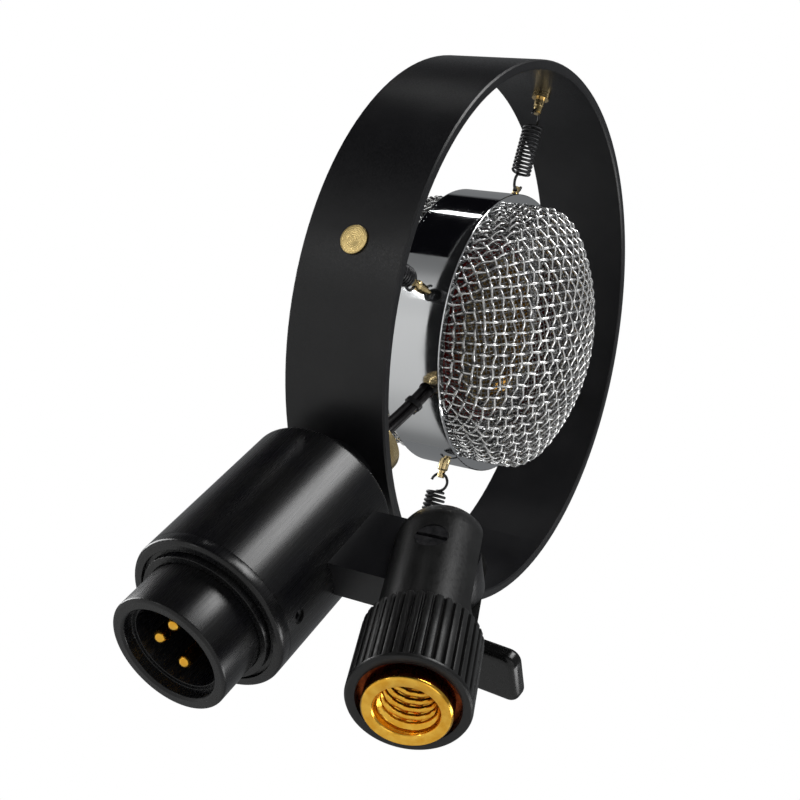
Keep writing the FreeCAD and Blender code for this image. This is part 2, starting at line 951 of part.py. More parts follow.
def clevis():
    """The forked swivel body: domed top, slot for the tongue, neck for the collar."""
    trunk = turned(
        "clevis_trunk",
        "Z",
        [
            ("0", "-neck_bottom"),
            ("neck_radius", "-neck_bottom"),
            ("neck_radius", "-shoulder_drop"),
            ("clevis_radius", "-shoulder_drop"),
            ("clevis_radius", "dome_centre"),
            ("0", "dome_centre"),
        ],
    )
    dome = ball("clevis_dome", "clevis_radius", {"z": "dome_centre"})
    slot = block(
        "clevis_slot",
        "slot_width",
        "4 * clevis_radius",
        "4 * clevis_radius",
        {
            "x": "-slot_width / 2",
            "y": "-2 * clevis_radius",
            "z": "-slot_bottom + slot_width / 2",
        },
    )
    round_end = rod(
        "clevis_slot_round",
        "slot_width / 2",
        "4 * clevis_radius",
        "+Y",
        {"y": "-2 * clevis_radius", "z": "-slot_bottom + slot_width / 2"},
    )
    pivot = rod(
        "clevis_pivot",
        "pivot_radius",
        "4 * clevis_radius",
        "+X",
        {"x": "-2 * clevis_radius"},
    )
    seat = rod(
        "clevis_head_seat",
        "pivot_head_radius + slip",
        "clevis_radius",
        "-X",
        {"x": "-pivot_head_seat"},
    )
    lever_seat = rod(
        "clevis_lever_seat",
        "lever_hub_radius + 0.25",
        "clevis_radius",
        "+X",
        {"x": "lever_seat"},
    )
    thread = rod("clevis_thread", "1.5", "2.6", "+Z", {"z": "-neck_bottom"})
    solid = fuse("clevis_solid", trunk, dome)
    on_hinge(
        cut("clevis", solid, slot, round_end, pivot, seat, lever_seat, thread), "clevis"
    )


def pivot_screw():
    """The slotted screw through fork and tongue, which ends in the lever's hub."""
    head_top = "clevis_radius - 0.25"
    shank = rod(
        "pivot_shank",
        "pivot_radius - slip",
        "pivot_head_seat + lever_hub_end - 1.4",
        "+X",
        {"x": "-pivot_head_seat"},
    )
    head = rod(
        "pivot_head",
        "pivot_head_radius",
        f"{head_top} - pivot_head_seat",
        "-X",
        {"x": "-pivot_head_seat"},
    )
    slot = block(
        "pivot_slot",
        "pivot_slot_depth",
        "3 * pivot_head_radius",
        "pivot_slot_width",
        {
            "x": f"-({head_top})",
            "y": "-1.5 * pivot_head_radius",
            "z": "-pivot_slot_width / 2",
        },
    )
    turned_slot = grouped("pivot_slot_turned", slot)
    turned_slot.Placement = Placement(Vector(), Rotation(Vector(1, 0, 0), 18))
    blank = fuse("pivot_blank", shank, head)
    on_hinge(cut("pivot_screw", blank, turned_slot), "pivot_screw")


def lever_washer():
    """The spring washer under the lever's hub."""
    washer = tube(
        "lever_washer_ring",
        "lever_hub_radius - 0.3",
        "pivot_radius",
        "0.5",
        "+X",
        {"x": "lever_seat"},
    )
    on_hinge(washer, "lever_washer")


def lever_wing():
    """The lever's flat wing, in the plane of the pivot's axis, with soft corners and edges."""
    body = new_body("lever_wing")
    sketch = outline(
        body,
        "lever_outline",
        "XY_Plane",
        [
            ("lever_inner", "0"),
            ("lever_outer - lever_root", "0"),
            ("lever_outer", "-lever_root"),
            ("lever_outer", "-lever_reach"),
            ("lever_inner", "-lever_reach"),
        ],
    )
    pad = body.newObject("PartDesign::Pad", "lever_pad")
    pad.Profile = sketch
    pad.Midplane = True
    bind(pad, {"Length": "lever_thickness"})
    doc.recompute()
    tip = -value("lever_reach")
    corners = [
        f"Edge{number}"
        for number, edge in enumerate(pad.Shape.Edges, start=1)
        if all(abs(corner.Y - tip) < TINY for corner in edge.Vertexes)
        and abs(edge.Vertexes[0].Z - edge.Vertexes[1].Z) > TINY
    ]
    rounds = body.newObject("PartDesign::Fillet", "lever_corners")
    rounds.Base = (pad, corners)
    bind(rounds, {"Radius": "lever_corner"})
    doc.recompute()
    rims = [
        f"Edge{number}"
        for number, edge in enumerate(rounds.Shape.Edges, start=1)
        if abs(edge.Vertexes[0].Z - edge.Vertexes[-1].Z) < TINY
    ]
    soft = body.newObject("PartDesign::Fillet", "lever_edges")
    soft.Base = (rounds, rims)
    bind(soft, {"Radius": "lever_edge"})
    doc.recompute()
    body.Placement = Placement(Vector(), Rotation(Vector(1, 0, 0), SIZES["lever_angle"]))
    return body


def clamp_lever():
    """The clamp lever: a hub screwed on the pivot's end, with one wing to turn it by."""
    hub = rod(
        "lever_hub",
        "lever_hub_radius",
        "lever_hub_end - lever_seat - 0.55",
        "+X",
        {"x": "lever_seat + 0.55"},
    )
    bore = rod(
        "lever_bore",
        "pivot_radius",
        "lever_hub_end - lever_seat",
        "+X",
        {"x": "lever_seat - 1.2"},
    )
    blank = fuse("lever_blank", hub, lever_wing())
    on_hinge(cut("clamp_lever", blank, bore), "clamp_lever")


def collar_keeper():
    """The washer and screw under the neck that keep the collar on the clevis."""
    washer = tube(
        "keeper_washer_ring",
        "neck_radius + 1.1",
        "1.6",
        "0.7",
        "-Z",
        {"z": "-neck_bottom"},
    )
    on_hinge(washer, "collar_washer")
    shank = rod("keeper_shank", "1.45", "3.2", "+Z", {"z": "-neck_bottom - 0.7"})
    head = rod("keeper_head", "3.2", "1.4", "-Z", {"z": "-neck_bottom - 0.7"})
    drive = block(
        "keeper_drive",
        "7",
        "0.8",
        "0.7",
        {"x": "-3.5", "y": "-0.4", "z": "-neck_bottom - 2.1"},
    )
    blank = fuse("keeper_blank", shank, head)
    on_hinge(cut("collar_screw", blank, drive), "collar_screw")


# Stand collar ------------------------------------------------------------------------------


def knurled_collar():
    """The ribbed collar that turns on the clevis's neck and takes the stand's thread."""
    body = turned(
        "collar_body",
        "Z",
        [
            ("collar_bore_radius", "-collar_bottom"),
            ("collar_radius", "-collar_bottom"),
            ("collar_radius", "-collar_top"),
            ("neck_radius + slip", "-collar_top"),
            ("neck_radius + slip", "-collar_top - collar_web + 0.2"),
            ("collar_bore_radius", "-collar_top - collar_web + 0.2"),
        ],
    )
    dress(body, "Chamfer", "z", [("-collar_bottom", "collar_bore_radius")], "0.6")
    dress(body, "Chamfer", "z", [("-collar_top", "collar_radius")], "0.45")
    dress(body, "Chamfer", "z", [("-collar_bottom", "collar_radius")], "0.4")
    groove = body.newObject("PartDesign::Pocket", "collar_groove")
    sketch = outline(
        body,
        "collar_groove_outline",
        "XY_Plane",
        [
            ("collar_radius - rib_depth", "0"),
            ("collar_radius + 1", "-1"),
            ("collar_radius + 1", "1"),
        ],
    )
    move_sketch = "Dimensions.collar_top - 1"
    sketch.setExpression("AttachmentOffset.Base.z", f"-({move_sketch})")
    groove.Profile = sketch
    groove.Reversed = False
    bind(groove, {"Length": "collar_bottom - collar_rim - collar_top + 1"})
    doc.recompute()
    ribs = body.newObject("PartDesign::PolarPattern", "collar_rib_pattern")
    ribs.Originals = [groove]
    ribs.Axis = (sketch, ["N_Axis"])
    bind(ribs, {"Occurrences": "collar_ribs"})
    ribs.Angle = 360
    body.Tip = ribs
    doc.recompute()
    on_hinge(body, "knurled_collar")


def thread_adapter():
    """The gold bush screwed into the collar, bored for the stand's smaller thread."""
    face = "-mouth_drop"
    body = turned(
        "adapter_body",
        "Z",
        [
            ("stand_bore_radius", face),
            ("adapter_face_radius", face),
            ("adapter_radius", face + " + (adapter_radius - adapter_face_radius)"),
            ("adapter_radius", "-adapter_top"),
            ("stand_bore_radius", "-adapter_top"),
        ],
    )
    on_hinge(body, "thread_adapter")


# Capsule head ------------------------------------------------------------------------------


def capsule_band():
    """The mirror-bright band, drilled for four posts and for the lead."""
    body = turned(
        "band_body",
        "Y",
        [
            ("band_radius - band_wall", "-band_half_width"),
            ("band_radius", "-band_half_width"),
            ("band_radius", "band_half_width"),
            ("band_radius - band_wall", "band_half_width"),
        ],
    )
    holes = []
    for place, angle in SPRING_ANGLES.items():
        hole = rod("band_hole_" + place, "post_radius", "2 * band_radius")
        hole.Placement = Placement(Vector(), Rotation(Vector(0, 1, 0), 90 - angle))
        holes.append(hole)
    foot = rod("band_lead_hole", "lead_hole_radius", "2 * band_radius", "-Z")
    move(foot, {"x": "-lead_hole_left", "y": "-lead_hole_forward"})
    on_ring(cut("capsule_band", body, *holes, foot), "capsule_band")


def facing(side, formula):
    """A height formula on the front (-1) or the rear (+1) of the head."""
    return f"{side} * ({formula})"


def rim(name, side):
    """A bright rim ring that clamps a grille to the band."""
    body = turned(
        name + "_body",
        "Y",
        [
            ("rim_inner_radius", facing(side, "band_half_width")),
            ("band_radius", facing(side, "band_half_width")),
            ("band_radius", facing(side, "band_half_width + rim_thickness")),
            ("grille_radius + slip", facing(side, "band_half_width + rim_thickness")),
            ("grille_radius + slip", facing(side, "band_half_width + 0.45")),
            ("rim_inner_radius", facing(side, "band_half_width + 0.45")),
        ],
    )
    edge = [(facing(side, "band_half_width + rim_thickness"), "band_radius")]
    dress(body, "Fillet", "y", edge, "0.35")
    on_ring(body, name)


def dome_shell(name, side, inset, skin):
    """A pan-shaped shell of revolution: a straight side, a shoulder and a crowned face."""
    solids = []
    for layer in (0, 1):
        depth = f"({inset} + {layer} * {skin})"
        crown = ball(
            f"{name}_crown_{layer}",
            f"grille_crown - {depth}",
            {"y": facing(side, "grille_top - grille_crown")},
        )
        side_rod = rod(
            f"{name}_side_{layer}",
            f"grille_radius - {depth}",
            "2 * grille_top",
            "+Y" if side > 0 else "-Y",
            {"y": facing(side, "band_half_width + 0.5") if layer == 0 else "0"},
        )
        solids.append(common(f"{name}_layer_{layer}", crown, side_rod))
    return cut(name + "_shell", *solids)


def head():
    """Both faces of the capsule head: rim, coarse grille and fine mesh."""
    for name, side in (("front", -1), ("rear", 1)):
        rim(name + "_rim", side)
        outer = dome_shell(name + "_grille", side, "0", "grille_skin")
        on_ring(outer, name + "_grille")
        inner = dome_shell(name + "_mesh", side, "(grille_skin + mesh_gap)", "mesh_skin")
        on_ring(inner, name + "_fine_mesh")


def capsule():
    """The two-sided capsule on its saddle: backplate, rings, diaphragms and screws."""
    plate = tube(
        "backplate_tube",
        "capsule_radius",
        "1.6",
        "2 * backplate_half",
        "+Y",
        {"y": "-backplate_half"},
    )
    on_ring(plate, "capsule_backplate")
    for name, side in (("front", -1), ("rear", 1)):
        along = "-Y" if side < 0 else "+Y"
        face = facing(side, "backplate_half")
        film = rod(name + "_film", "capsule_radius", "0.15", along, {"y": face})
        on_ring(grouped(name + "_film_group", film), name + "_diaphragm")
        ring = tube(
            name + "_ring_tube",
            "capsule_radius",
            "diaphragm_radius",
            "1.4",
            along,
            {"y": facing(side, "backplate_half + 0.15")},
        )
        on_ring(ring, name + "_clamp_ring")
    saddle = tube(
        "saddle_tube",
        "capsule_radius + 2.6",
        "capsule_radius + slip",
        "2 * backplate_half",
        "+Y",
        {"y": "-backplate_half"},
    )
    foot = block(
        "saddle_foot",
        "9",
        "2 * backplate_half",
        "8",
        {"x": "-4.5", "y": "-backplate_half", "z": "-capsule_radius - 9"},
    )
    void = rod("saddle_void", "capsule_radius + slip", "20", "+Y", {"y": "-10"})
    way = rod("saddle_way", "1.8", "20", "-Z", {"z": "-capsule_radius - 4"})
    blank = fuse("saddle_blank", saddle, foot)
    on_ring(cut("capsule_saddle", blank, void, way), "capsule_saddle")


def ring_screws():
    """Small screws round both clamp rings."""
    screws = []
    count = 8
    for side in (-1, 1):
        for number in range(count):
            angle = 2 * math.pi * number / count
            radius = SIZES["capsule_radius"] - 1.2
            screw = rod(
                f"ring_screw_{number}_{'front' if side < 0 else 'rear'}",
                "0.75",
                "0.5",
                "-Y" if side < 0 else "+Y",
                {
                    "x": f"{radius * math.cos(angle):.4f}",
                    "y": facing(side, "backplate_half + 1.55"),
                    "z": f"{radius * math.sin(angle):.4f}",
                },
            )
            screws.append(screw)
    on_ring(fuse("clamp_ring_screws", *screws), "clamp_ring_screws")


# Building and writing ----------------------------------------------------------------------


def build():
    """Makes every sub-part."""
    ring_hoop()
    anchor_screws()
    suspension()
    barrel_housing()
    end_cap()
    set_screw()
    connector_shell()
    connector_insert()
    connector_pins()
    neck_spacer()
    hollow_screw()
    signal_lead()
    cable_tie()
    board_posts()
    electronics()
    tongue()
    clevis()
    pivot_screw()
    lever_washer()
    clamp_lever()
    collar_keeper()
    knurled_collar()
    thread_adapter()
    capsule_band()
    head()
    capsule()
    ring_screws()


def check():
    """Stops before anything is written if an object failed or a shape isn't sound."""
    for piece in doc.Objects:
        if "Invalid" in piece.State or "Error" in piece.State:
            raise RuntimeError(f"{piece.Name} failed: {piece.State}")
    for piece in sub_parts:
        if piece.Shape.isNull() or not piece.Shape.isValid() or not piece.Shape.Solids:
            raise RuntimeError(f"{piece.Label} has no sound solid")


def write():
    """Writes each sub-part to a file named after its label."""
    os.makedirs("parts", exist_ok=True)
    for piece in sub_parts:
        piece.Shape.exportStep(f"parts/{piece.Label}.step")


build()
doc.recompute()
check()
write()
print(f"{len(sub_parts)} sub-parts written")
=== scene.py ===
"""The looks of the condenser microphone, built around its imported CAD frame.

Metres, in the CAD's own frame. Pieces of the ring, the barrel and the capsule head are drawn about
the ring's centre, and pieces of the swivel about its pivot, with Z running up the swivel's stem.
"""

import json
import math

import bpy
from mathutils import Matrix, Vector, noise

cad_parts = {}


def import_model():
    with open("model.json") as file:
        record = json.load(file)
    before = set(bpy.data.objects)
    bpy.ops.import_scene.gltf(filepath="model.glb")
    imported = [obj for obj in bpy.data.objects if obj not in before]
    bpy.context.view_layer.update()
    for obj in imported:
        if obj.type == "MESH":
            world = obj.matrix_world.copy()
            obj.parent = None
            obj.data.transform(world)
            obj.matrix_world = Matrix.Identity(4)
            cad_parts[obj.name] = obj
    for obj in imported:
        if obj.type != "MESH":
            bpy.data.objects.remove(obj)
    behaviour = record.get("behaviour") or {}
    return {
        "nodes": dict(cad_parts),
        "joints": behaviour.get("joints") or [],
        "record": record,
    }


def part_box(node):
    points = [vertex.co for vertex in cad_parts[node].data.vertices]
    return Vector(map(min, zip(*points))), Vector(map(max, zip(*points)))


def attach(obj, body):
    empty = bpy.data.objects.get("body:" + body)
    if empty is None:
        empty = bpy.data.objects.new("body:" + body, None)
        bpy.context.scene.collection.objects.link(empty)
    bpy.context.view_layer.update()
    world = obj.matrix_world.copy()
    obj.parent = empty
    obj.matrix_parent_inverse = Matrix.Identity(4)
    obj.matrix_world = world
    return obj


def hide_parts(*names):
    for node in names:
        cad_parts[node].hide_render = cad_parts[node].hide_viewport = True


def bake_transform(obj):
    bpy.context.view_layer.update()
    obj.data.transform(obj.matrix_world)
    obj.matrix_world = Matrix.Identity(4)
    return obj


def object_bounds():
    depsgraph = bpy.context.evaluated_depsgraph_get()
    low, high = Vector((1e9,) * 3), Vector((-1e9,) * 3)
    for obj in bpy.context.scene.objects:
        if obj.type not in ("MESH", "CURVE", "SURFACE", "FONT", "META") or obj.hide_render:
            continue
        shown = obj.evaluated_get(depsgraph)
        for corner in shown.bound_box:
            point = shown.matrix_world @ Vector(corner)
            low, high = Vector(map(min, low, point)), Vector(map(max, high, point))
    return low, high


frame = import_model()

CAD_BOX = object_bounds()
MM = 0.001

# Places read from the frame ------------------------------------------------------------------


def middle(node):
    """The centre of a CAD node's box."""
    low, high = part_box(node)
    return (low + high) / 2


def joint(name):
    """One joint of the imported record."""
    return next(item for item in frame["joints"] if item["name"] == name)


def mount_axis(name):
    """The direction in which a mount's mating part leaves."""
    return next(Vector(m["axis"]) for m in frame["record"]["mounts"] if m["name"] == name)


RING_CENTRE = middle("ring_hoop")
RING_RADIUS = (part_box("ring_hoop")[1].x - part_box("ring_hoop")[0].x) / 2
BAND_HALF_WIDTH = (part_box("capsule_band")[1].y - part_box("capsule_band")[0].y) / 2
HINGE = Vector(joint("head_tilt")["pos_m"])
STEM_DOWN = mount_axis("stand_thread")
REST_TILT = math.atan2(-STEM_DOWN.y, -STEM_DOWN.z)
SPRING_ANGLES = {"upper_right": 45, "upper_left": 135, "lower_left": 225, "lower_right": 315}
SPRING_TWISTS = {"lower_right": 90}

IN_RING = Matrix.Translation(RING_CENTRE)
IN_SWIVEL = Matrix.Translation(HINGE) @ Matrix.Rotation(-REST_TILT, 4, "X")


def out_along(angle):
    """The ring's frame turned so that its Z points out along one radius of the ring."""
    return IN_RING @ Matrix.Rotation(math.radians(90 - angle), 4, "Y")


# Mesh building -------------------------------------------------------------------------------


def new_piece(name, points, faces, place, material):
    """A smooth mesh object with one material."""
    mesh = bpy.data.meshes.new(name)
    mesh.from_pydata([tuple(point) for point in points], [], faces)
    mesh.update()
    mesh.shade_smooth()
    mesh.materials.append(material)
    piece = bpy.data.objects.new(name, mesh)
    piece.matrix_world = place
    bpy.context.scene.collection.objects.link(piece)
    return piece


def sharpen(piece, degrees=32):
    """Keeps the edges that turn by more than an angle crisp."""
    piece.data.set_sharp_from_angle(angle=math.radians(degrees))
    return piece


def along_path(path, radius, sides):
    """Points and faces of a capped tube that follows a path."""
    points, faces = [], []
    tangents = [
        (path[min(i + 1, len(path) - 1)] - path[max(i - 1, 0)]).normalized()
        for i in range(len(path))
    ]
    side = tangents[0].orthogonal().normalized()
    for centre, tangent in zip(path, tangents):
        side = (side - tangent * side.dot(tangent)).normalized()
        other = tangent.cross(side)
        for k in range(sides):
            turn = 2 * math.pi * k / sides
            points.append(centre + (side * math.cos(turn) + other * math.sin(turn)) * radius)
    for i in range(len(path) - 1):
        for k in range(sides):
            a, b = i * sides + k, i * sides + (k + 1) % sides
            faces.append((a, b, b + sides, a + sides))
    last = (len(path) - 1) * sides
    faces.append(tuple(reversed(range(sides))))
    faces.append(tuple(range(last, last + sides)))
    return points, faces


def merged(parts):
    """Several lists of points and faces as one."""
    points, faces = [], []
    for part_points, part_faces in parts:
        start = len(points)
        points += part_points
        faces += [tuple(start + corner for corner in face) for face in part_faces]
    return points, faces


def turned(columns, rows, place_at):
    """A closed band of faces: rows run round a section, columns round the Z axis."""
    points = [place_at(row, column) for row in range(rows) for column in range(columns)]
    faces = []
    for row in range(rows):
        following = (row + 1) % rows
        for column in range(columns):
            beside = (column + 1) % columns
            faces.append(
                (
                    row * columns + column,
                    row * columns + beside,
                    following * columns + beside,
                    following * columns + column,
                )
            )
    return points, faces


def lathe(profile, columns=96):
    """Points and faces of a profile of (radius, height) turned about Z, capped at both ends."""
    points, faces = [], []
    for radius, height in profile:
        for column in range(columns):
            turn = 2 * math.pi * column / columns
            points.append(Vector((radius * math.cos(turn), radius * math.sin(turn), height)))
    for row in range(len(profile) - 1):
        for column in range(columns):
            beside = (column + 1) % columns
            a, b = row * columns + column, row * columns + beside
            faces.append((a, b, b + columns, a + columns))
    last = (len(profile) - 1) * columns
    faces.append(tuple(reversed(range(columns))))
    faces.append(tuple(range(last, last + columns)))
    return points, faces


# Materials -----------------------------------------------------------------------------------


class Shader:
    """One material's nodes, with short calls for the links that the materials share."""

    def __init__(self, name, colour, metallic, roughness):
        self.material = bpy.data.materials.new(name)
        self.material.use_nodes = True
        self.tree = self.material.node_tree
        self.surface = self.tree.nodes["Principled BSDF"]
        self.surface.inputs["Base Color"].default_value = (*colour, 1)
        self.surface.inputs["Metallic"].default_value = metallic
        self.surface.inputs["Roughness"].default_value = roughness
        if not metallic:
            self.surface.inputs["Specular IOR Level"].default_value = 0.35
        self.place = self.node("ShaderNodeTexCoord").outputs["Object"]

    def node(self, kind, **settings):
        """A new node with some of its properties set."""
        made = self.tree.nodes.new(kind)
        for key, setting in settings.items():
            setattr(made, key, setting)
        return made

    def link(self, source, target):
        """Joins an output to an input."""
        self.tree.links.new(source, target)

    def stretched(self, stretch):
        """The object's coordinates, scaled along each axis."""
        mapping = self.node("ShaderNodeMapping")
        mapping.inputs["Scale"].default_value = stretch
        self.link(self.place, mapping.inputs["Vector"])
        return mapping.outputs["Vector"]

    def grain(self, size, detail=3.0, stretch=(1, 1, 1)):
        """Noise whose features are about one size across."""
        made = self.node("ShaderNodeTexNoise")
        made.inputs["Scale"].default_value = 1 / size
        made.inputs["Detail"].default_value = detail
        self.link(self.stretched(stretch), made.inputs["Vector"])
        return made.outputs["Fac"]

    def between(self, source, low, high):
        """A 0 to 1 source spread between two values."""
        made = self.node("ShaderNodeMapRange")
        made.inputs["From Min"].default_value = 0.3
        made.inputs["From Max"].default_value = 0.7
        made.inputs["To Min"].default_value = low
        made.inputs["To Max"].default_value = high
        self.link(source, made.inputs["Value"])
        return made.outputs["Result"]

    def rough(self, source, low, high):
        """Varies the roughness with a source."""
        self.link(self.between(source, low, high), self.surface.inputs["Roughness"])
        return self

    def tint(self, source, dark, light):
        """Varies the colour between two with a source."""
        ramp = self.node("ShaderNodeValToRGB")
        ramp.color_ramp.elements[0].position = 0.35
        ramp.color_ramp.elements[0].color = (*dark, 1)
        ramp.color_ramp.elements[1].position = 0.65
        ramp.color_ramp.elements[1].color = (*light, 1)
        self.link(source, ramp.inputs["Fac"])
        self.link(ramp.outputs["Color"], self.surface.inputs["Base Color"])
        return self

    def relief(self, source, height, strength=1.0):
        """Bumps the surface by a source, adding to any bump set before."""
        bump = self.node("ShaderNodeBump")
        bump.inputs["Strength"].default_value = strength
        bump.inputs["Distance"].default_value = height
        self.link(source, bump.inputs["Height"])
        if self.surface.inputs["Normal"].is_linked:
            before = self.surface.inputs["Normal"].links[0].from_socket
            self.link(before, bump.inputs["Normal"])
        self.link(bump.outputs["Normal"], self.surface.inputs["Normal"])
        return self


def black_anodised():
    """Bead-blasted black anodising: a fine even grain with a few paler specks."""
    made = Shader("black_anodised_look", (0.006, 0.006, 0.007), 0.0, 0.36)
    made.tint(made.grain(9 * MM), (0.004, 0.004, 0.005), (0.007, 0.007, 0.008))
    made.rough(made.grain(0.35 * MM, 2), 0.30, 0.44)
    made.relief(made.grain(0.22 * MM, 2), 0.03 * MM, 0.5)
    return made.material


def black_barrel():
    """Semi-gloss black with the faint lengthwise marks of polishing."""
    made = Shader("black_barrel_look", (0.004, 0.004, 0.005), 0.0, 0.22)
    streaks = made.grain(0.35 * MM, 2, (1, 1, 0.05))
    made.tint(made.grain(6 * MM), (0.003, 0.003, 0.004), (0.006, 0.006, 0.006))
    made.rough(streaks, 0.25, 0.29)
    made.relief(streaks, 0.001 * MM, 0.08)
    made.relief(made.grain(0.3 * MM, 2), 0.001 * MM, 0.12)
    return made.material


def black_swivel():
    """Satin black enamel on a casting."""
    made = Shader("black_swivel_look", (0.006, 0.006, 0.006), 0.0, 0.34)
    made.tint(made.grain(4 * MM), (0.004, 0.004, 0.004), (0.008, 0.008, 0.008))
    made.rough(made.grain(0.6 * MM), 0.28, 0.42)
    made.relief(made.grain(0.4 * MM, 3), 0.03 * MM, 0.4)
    return made.material


def black_lever():
    """Moulded black with a soft gloss."""
    made = Shader("black_lever_look", (0.004, 0.004, 0.004), 0.0, 0.25)
    made.rough(made.grain(1.5 * MM), 0.20, 0.30)
    made.relief(made.grain(1.2 * MM), 0.008 * MM, 0.3)
    return made.material


def black_plastic():
    """Moulded black insulator."""
    made = Shader("black_plastic_look", (0.006, 0.006, 0.007), 0.0, 0.38)
    made.rough(made.grain(0.8 * MM), 0.32, 0.46)
    made.relief(made.grain(0.25 * MM), 0.02 * MM, 0.4)
    return made.material


def black_rubber():
    """The sheath of the lead's strands."""
    made = Shader("black_rubber_look", (0.006, 0.005, 0.006), 0.0, 0.42)
    made.rough(made.grain(0.7 * MM), 0.34, 0.5)
    made.relief(made.grain(0.3 * MM), 0.02 * MM, 0.3)
    return made.material


def dark_steel():
    """Blackened steel, worn a little where tools touch it."""
    made = Shader("dark_steel_look", (0.055, 0.055, 0.06), 0.85, 0.34)
    made.tint(made.grain(1.2 * MM), (0.035, 0.035, 0.038), (0.085, 0.085, 0.09))
    made.rough(made.grain(0.4 * MM), 0.28, 0.45)
    made.relief(made.grain(0.3 * MM), 0.015 * MM, 0.4)
    return made.material


def spring_wire():
    """Blackened spring wire with drawing marks."""
    made = Shader("spring_wire_look", (0.03, 0.03, 0.032), 0.6, 0.33)
    made.tint(made.grain(0.8 * MM), (0.018, 0.018, 0.02), (0.05, 0.05, 0.052))
    made.rough(made.grain(0.25 * MM), 0.26, 0.44)
    made.relief(made.grain(0.2 * MM), 0.01 * MM, 0.4)
    return made.material


def turned_brass():
    """Turned brass with fine tool marks."""
    made = Shader("brass_look", (0.76, 0.60, 0.33), 1.0, 0.26)
    made.tint(made.grain(2.5 * MM), (0.60, 0.44, 0.20), (0.76, 0.60, 0.32))
    made.rough(made.grain(0.5 * MM), 0.2, 0.3)
    made.relief(made.grain(0.3 * MM), 0.003 * MM, 0.3)
    return made.material


def faced_brass():
    """A faced-off brass head: rings about its own axis, which draw the light into a fan."""
    made = Shader("faced_brass_look", (0.74, 0.56, 0.24), 1.0, 0.3)
    made.surface.inputs["Anisotropic"].default_value = 0.85
    tangent = made.node("ShaderNodeTangent", direction_type="RADIAL", axis="Z")
    made.link(tangent.outputs["Tangent"], made.surface.inputs["Tangent"])
    rings = made.node(
        "ShaderNodeTexWave", wave_type="RINGS", rings_direction="Z", wave_profile="SIN"
    )
    rings.inputs["Scale"].default_value = 1 / (1.1 * MM)
    rings.inputs["Distortion"].default_value = 0.6
    made.link(made.place, rings.inputs["Vector"])
    made.tint(rings.outputs["Fac"], (0.55, 0.40, 0.15), (0.78, 0.60, 0.28))
    made.relief(rings.outputs["Fac"], 0.012 * MM, 0.5)
    made.rough(made.grain(0.3 * MM), 0.24, 0.4)
    return made.material


def gold_plate():
    """Bright gold plating over cut threads."""
    made = Shader("gold_plate_look", (0.92, 0.5, 0.06), 1.0, 0.18)
    made.tint(made.grain(1.5 * MM), (0.85, 0.42, 0.04), (0.97, 0.56, 0.08))
    made.rough(made.grain(0.5 * MM), 0.12, 0.26)
    made.relief(made.grain(0.4 * MM), 0.01 * MM, 0.35)
    return made.material


def painted_shade_gold():
    """The bush's side, painted a dark brown gold: painted shade, with a painted dark reflection of
    the black collar round it.
    """
    made = Shader("painted_shade_gold_look", (0.14, 0.025, 0.006), 1.0, 0.3)
    made.tint(made.grain(1.2 * MM), (0.08, 0.014, 0.004), (0.20, 0.04, 0.008))
    made.rough(made.grain(0.5 * MM), 0.24, 0.4)
    return made.material


def gold_film():
    """The thin gold film of a diaphragm, with a faint ripple, its gold painted a dark brown as
    painted shade deep inside the capsule head.
    """
    made = Shader("gold_film_look", (0.32, 0.2, 0.05), 1.0, 0.12)
    made.rough(made.grain(3 * MM), 0.08, 0.2)
    made.relief(made.grain(2.5 * MM, 1), 0.02 * MM, 0.3)
    return made.material


def mirror_chrome():
    """Mirror plating with faint waves and dust."""
    made = Shader("mirror_chrome_look", (0.70, 0.71, 0.72), 1.0, 0.05)
    made.rough(made.grain(5 * MM), 0.03, 0.09)
    made.relief(made.grain(14 * MM, 1), 0.02 * MM, 0.3)
    made.relief(made.grain(0.5 * MM), 0.003 * MM, 0.3)
    return made.material


def grille_wire():
    """Bright drawn wire, duller where it was bent."""
    made = Shader("grille_wire_look", (0.66, 0.66, 0.65), 1.0, 0.24)
    made.tint(made.grain(2.2 * MM), (0.55, 0.55, 0.55), (0.82, 0.82, 0.81))
    made.rough(made.grain(0.9 * MM), 0.16, 0.34)
    made.relief(made.grain(0.3 * MM), 0.012 * MM, 0.4)
    return made.material


def fine_mesh_wire():
    """The finer wire behind, greyer because less light reaches it."""
    made = Shader("fine_mesh_wire_look", (0.22, 0.22, 0.22), 1.0, 0.3)
    made.tint(made.grain(1.8 * MM), (0.13, 0.13, 0.14), (0.30, 0.30, 0.29))
    made.rough(made.grain(0.6 * MM), 0.24, 0.42)
    return made.material


def red_plastic():
    """The red moulded saddle, its red painted darker as painted shade, where little light reaches
    it.
    """
    made = Shader("red_plastic_look", (0.15, 0.006, 0.006), 0.0, 0.4)
    made.tint(made.grain(3 * MM), (0.11, 0.004, 0.004), (0.2, 0.009, 0.008))
    made.rough(made.grain(0.6 * MM), 0.3, 0.48)
    return made.material


def green_board():
    """Solder mask over a woven laminate."""
    made = Shader("green_board_look", (0.02, 0.14, 0.06), 0.0, 0.3)
    made.tint(made.grain(1.2 * MM), (0.015, 0.11, 0.045), (0.03, 0.18, 0.08))
    made.rough(made.grain(0.5 * MM), 0.24, 0.4)
    return made.material


def can_sleeve():
    """The sleeve shrunk on a capacitor's can."""
    made = Shader("can_sleeve_look", (0.03, 0.05, 0.20), 0.0, 0.3)
    made.rough(made.grain(1.0 * MM), 0.24, 0.38)
    return made.material


def film_case():
    """A dipped capacitor's uneven coat."""
    made = Shader("film_case_look", (0.5, 0.08, 0.05), 0.0, 0.28)
    made.rough(made.grain(1.4 * MM), 0.2, 0.36)
    made.relief(made.grain(2.0 * MM), 0.1 * MM, 0.4)
    return made.material


